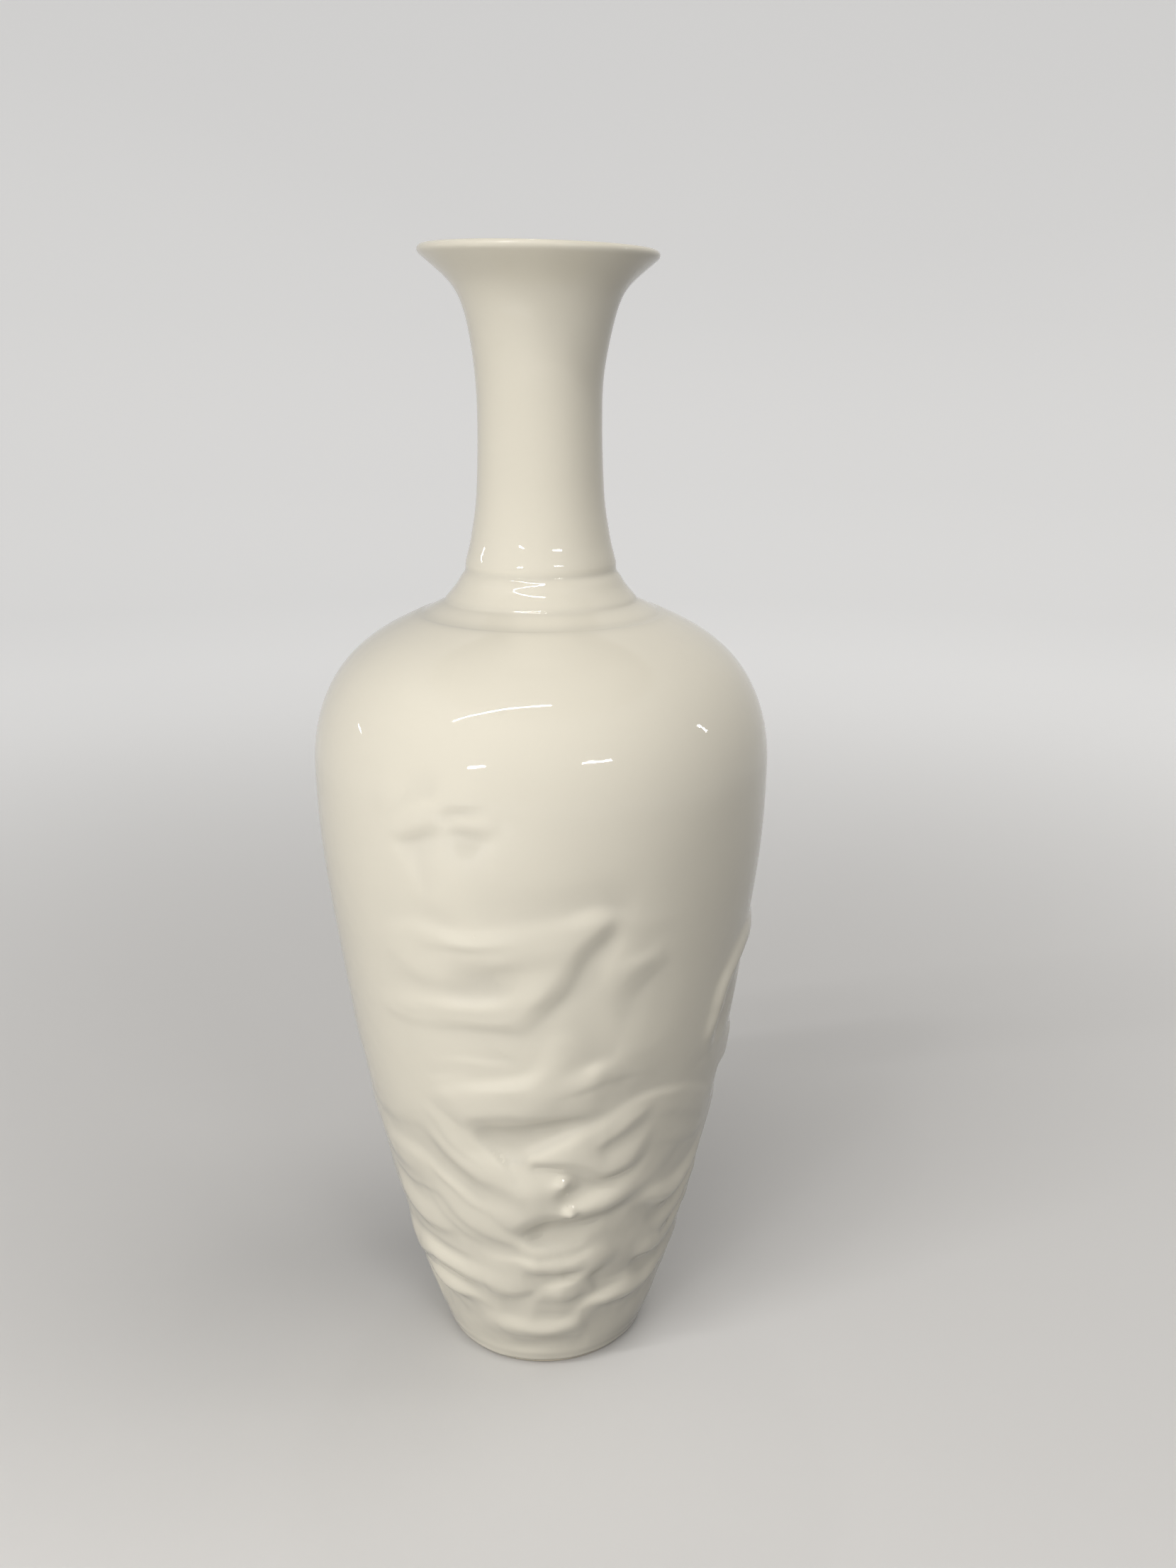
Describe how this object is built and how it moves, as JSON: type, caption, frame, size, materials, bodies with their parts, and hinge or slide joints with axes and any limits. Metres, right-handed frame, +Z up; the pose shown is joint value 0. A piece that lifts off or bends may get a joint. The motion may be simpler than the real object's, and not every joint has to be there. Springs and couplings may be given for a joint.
{
  "type": "amphora vase",
  "caption": "Tall white glazed porcelain vase with a narrow foot, a long tapering body, a round shoulder, a stepped collar, a slender neck and a flared mouth.",
  "frame": {"origin": "centre of the foot ring, in the plane that the vase stands on", "axes": "+Z up along the axis of the vase; -Y towards the viewer of the picture, +X to the viewer's right"},
  "size_m": [0.121, 0.121, 0.3],
  "materials": {
    "bare_porcelain": "unglazed, fine matt",
    "porcelain_body": "fired porcelain under the glaze",
    "slip": "fired slip in the luted seams",
    "white_glaze": "gloss, warm ivory white",
    "inner_white_glaze": "gloss, ivory white",
    "base_white_glaze": "gloss, ivory white, slightly uneven"
  },
  "bodies": {
    "root": {"foot_ring": "bare_porcelain", "foot_seam": "slip", "lower_body": "porcelain_body", "belly_seam": "slip", "shoulder": "porcelain_body", "collar_seam": "slip", "collar": "porcelain_body", "neck_seam": "slip", "neck": "porcelain_body", "outer_glaze": "white_glaze", "inner_glaze": "inner_white_glaze", "base_glaze": "base_white_glaze"}
  },
  "joints": []
}
